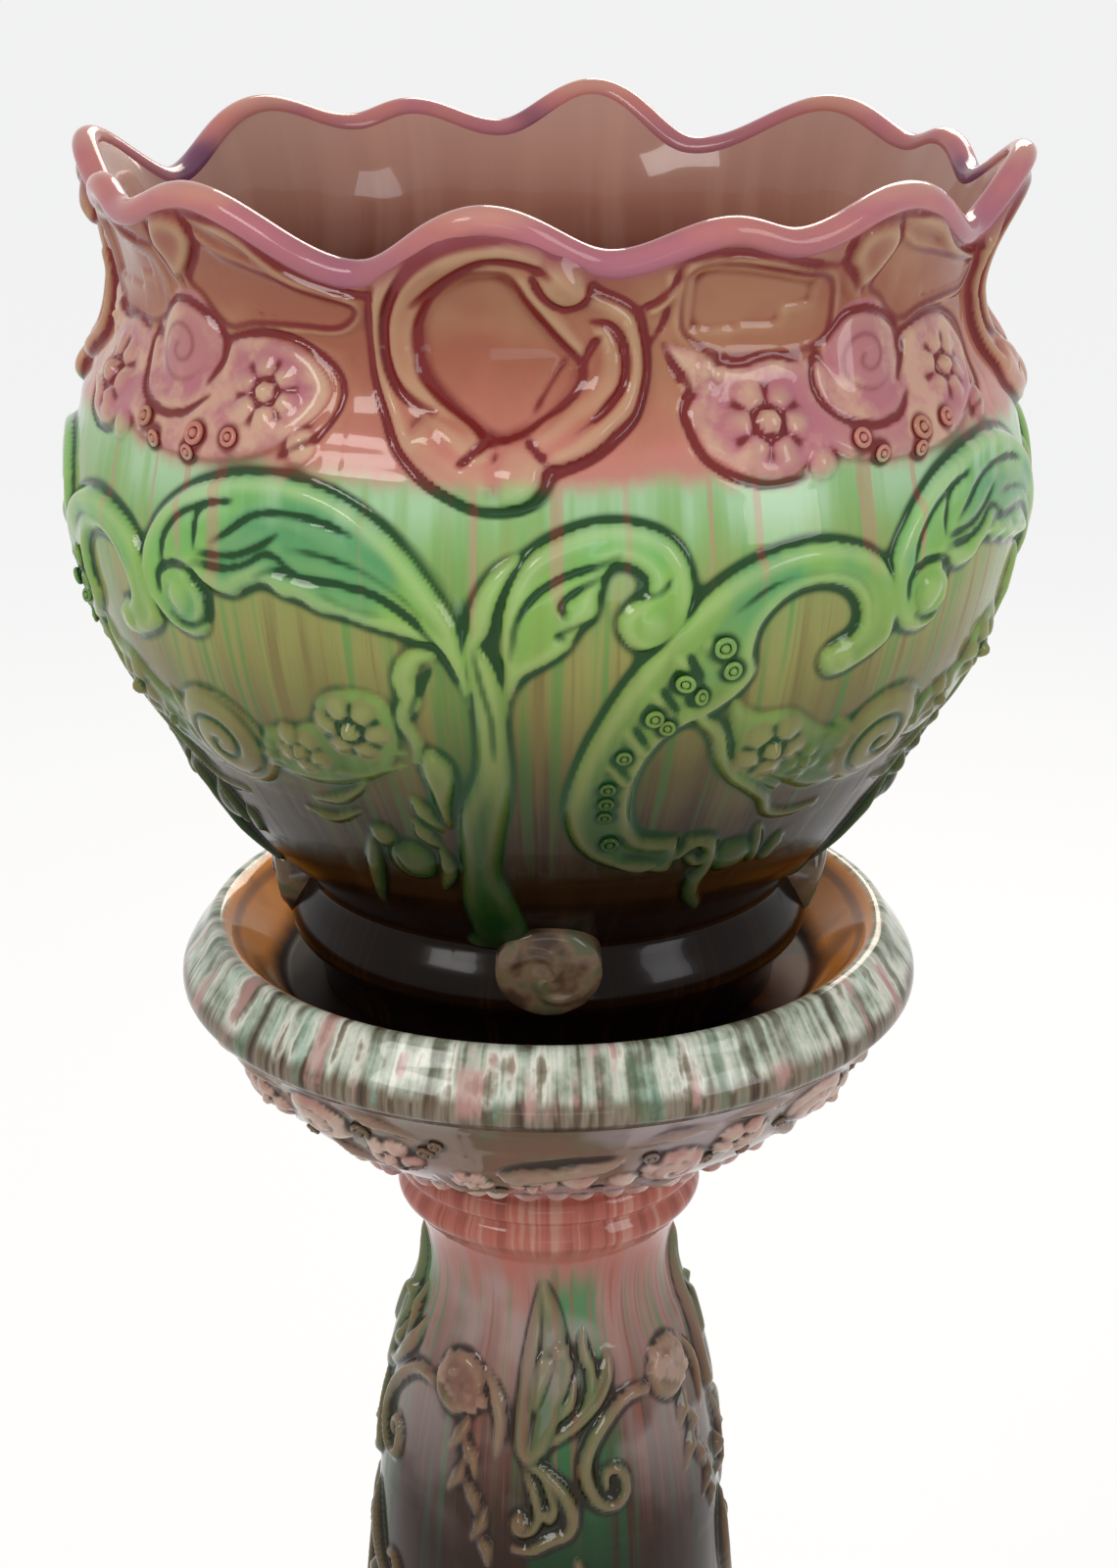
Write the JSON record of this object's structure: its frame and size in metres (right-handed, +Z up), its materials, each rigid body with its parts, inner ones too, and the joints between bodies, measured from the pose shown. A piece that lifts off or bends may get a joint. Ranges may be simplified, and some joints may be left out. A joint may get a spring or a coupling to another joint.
{
  "type": "jardiniere on stand",
  "caption": "Glazed earthenware jardiniere with a waved flared rim and raised scroll ornament, standing in the dished top of a matching flared pedestal.",
  "frame": {"origin": "on the floor, at the middle of the pedestal's base", "axes": "+Z up along the axis of both pieces; -Y towards the front medallion of the jardiniere; +X to its right"},
  "size_m": [0.3842, 0.3842, 0.9991],
  "materials": {
    "jardiniere_glaze": "glossy running majolica glaze, rose at the rim, green on the body and dark brown at the foot",
    "pedestal_glaze": "glossy running majolica glaze, streaked green, rose, cream and brown"
  },
  "bodies": {
    "stand": {"pedestal": "pedestal_glaze"},
    "bowl": {"jardiniere": "jardiniere_glaze"}
  },
  "joints": [
    {"name": "jardiniere_lift", "type": "slide", "parent": "stand", "child": "bowl", "axis": [0, 0, 1], "range_m": [0, 0.15]}
  ]
}
